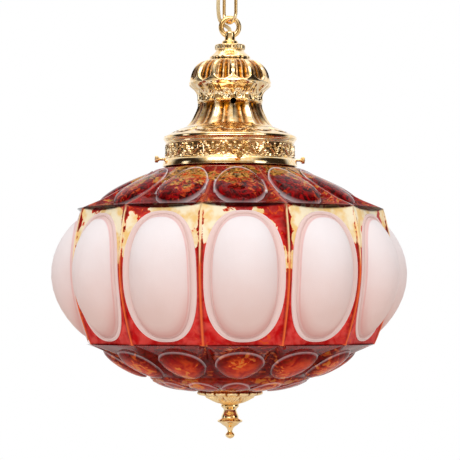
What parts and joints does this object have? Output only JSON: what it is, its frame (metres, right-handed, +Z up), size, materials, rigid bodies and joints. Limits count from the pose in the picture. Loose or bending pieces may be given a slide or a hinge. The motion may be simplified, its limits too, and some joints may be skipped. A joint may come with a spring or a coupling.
{
  "type": "ceiling lamp",
  "caption": "Chain-hung pendant lamp: ribbed red glass shade with frosted ovals, fluted cast brass crown, gallery with thumbscrews, lampholder and bulb, and a turned finial.",
  "frame": {"origin": "middle of the ceiling plane that the mounting bar and canopy are fixed against", "axes": "+Z up, towards the ceiling; the front of the lamp, as pictured, faces -Y, and +X is to its right"},
  "size_m": [0.4068, 0.4068, 0.6672],
  "materials": {
    "polished_brass": "turned and polished",
    "cast_brass": "cast, polished on its high places",
    "plain_brass": "plain",
    "plated_steel": "zinc plated",
    "ruby_glass": "moulded, stained ruby, with acid-frosted ovals",
    "opal_glass": "blown, opal",
    "glazed_porcelain": "glazed",
    "brown_fibre": "rolled fibre",
    "cork": "cut cork sheet",
    "gold_flex": "clear gold sheath on stranded copper"
  },
  "bodies": {
    "ceiling": {"mounting_bar": "plated_steel", "ceiling_canopy": "polished_brass", "canopy_tube": "plain_brass", "canopy_locknut": "plain_brass", "canopy_loop": "polished_brass", "supply_cord": "gold_flex"},
    "link_1": {"chain_link_1": "polished_brass"},
    "link_2": {"chain_link_2": "polished_brass"},
    "link_3": {"chain_link_3": "polished_brass"},
    "lamp": {"lamp_loop": "polished_brass", "crown_rosette": "cast_brass", "crown": "cast_brass", "gallery_band": "cast_brass", "holder_pan": "plain_brass", "lamp_tube": "plain_brass", "upper_locknut": "plain_brass", "lower_locknut": "plain_brass", "holder_cap": "polished_brass", "holder_shell": "polished_brass", "holder_insulator": "glazed_porcelain", "holder_sleeve": "brown_fibre", "screw_shell": "plain_brass", "centre_contact": "plain_brass"},
    "screw_1": {"thumbscrew_1": "polished_brass"},
    "screw_2": {"thumbscrew_2": "polished_brass"},
    "screw_3": {"thumbscrew_3": "polished_brass"},
    "screw_4": {"thumbscrew_4": "polished_brass"},
    "shade": {"glass_shade": "ruby_glass", "finial_cup": "cast_brass", "cork_seal": "cork", "inner_plate": "plain_brass", "inner_nut": "plain_brass", "bottom_stud": "plain_brass"},
    "finial_body": {"finial": "polished_brass"},
    "bulb": {"bulb_glass": "opal_glass", "bulb_cap": "plated_steel", "bulb_contact": "plated_steel"}
  },
  "joints": [
    {"name": "link_1_swing", "type": "hinge", "parent": "ceiling", "child": "link_1", "pos_m": [0, 0, -0.0666], "axis": [0.829, 0.5592, 0], "range_deg": [-30, 30], "deforming": ["supply_cord"]},
    {"name": "link_2_swing", "type": "hinge", "parent": "link_1", "child": "link_2", "pos_m": [0, 0, -0.1073], "axis": [0.5592, -0.829, 0], "range_deg": [-30, 30], "deforming": ["supply_cord"]},
    {"name": "link_3_swing", "type": "hinge", "parent": "link_2", "child": "link_3", "pos_m": [0, 0, -0.149], "axis": [0.829, 0.5592, 0], "range_deg": [-30, 30], "deforming": ["supply_cord"]},
    {"name": "lamp_swing", "type": "hinge", "parent": "link_3", "child": "lamp", "pos_m": [0, 0, -0.19557], "axis": [0, 1, 0], "range_deg": [-25, 25], "deforming": ["supply_cord"]},
    {"name": "thumbscrew_1_travel", "type": "slide", "parent": "lamp", "child": "screw_1", "axis": [0.1219, -0.9925, 0], "range_m": [0, 0.008]},
    {"name": "thumbscrew_2_travel", "type": "slide", "parent": "lamp", "child": "screw_2", "axis": [0.9925, 0.1219, 0], "range_m": [0, 0.008]},
    {"name": "thumbscrew_3_travel", "type": "slide", "parent": "lamp", "child": "screw_3", "axis": [-0.1219, 0.9925, 0], "range_m": [0, 0.008]},
    {"name": "thumbscrew_4_travel", "type": "slide", "parent": "lamp", "child": "screw_4", "axis": [-0.9925, -0.1219, 0], "range_m": [0, 0.008]},
    {"name": "shade_turn", "type": "hinge", "parent": "lamp", "child": "shade", "pos_m": [0, 0, -0.35], "axis": [0, 0, 1], "continuous": true},
    {"name": "finial_turn", "type": "hinge", "parent": "shade", "child": "finial_body", "pos_m": [0, 0, -0.64], "axis": [0, 0, 1], "continuous": true},
    {"name": "bulb_turn", "type": "hinge", "parent": "lamp", "child": "bulb", "pos_m": [0, 0, -0.4], "axis": [0, 0, 1], "continuous": true}
  ]
}
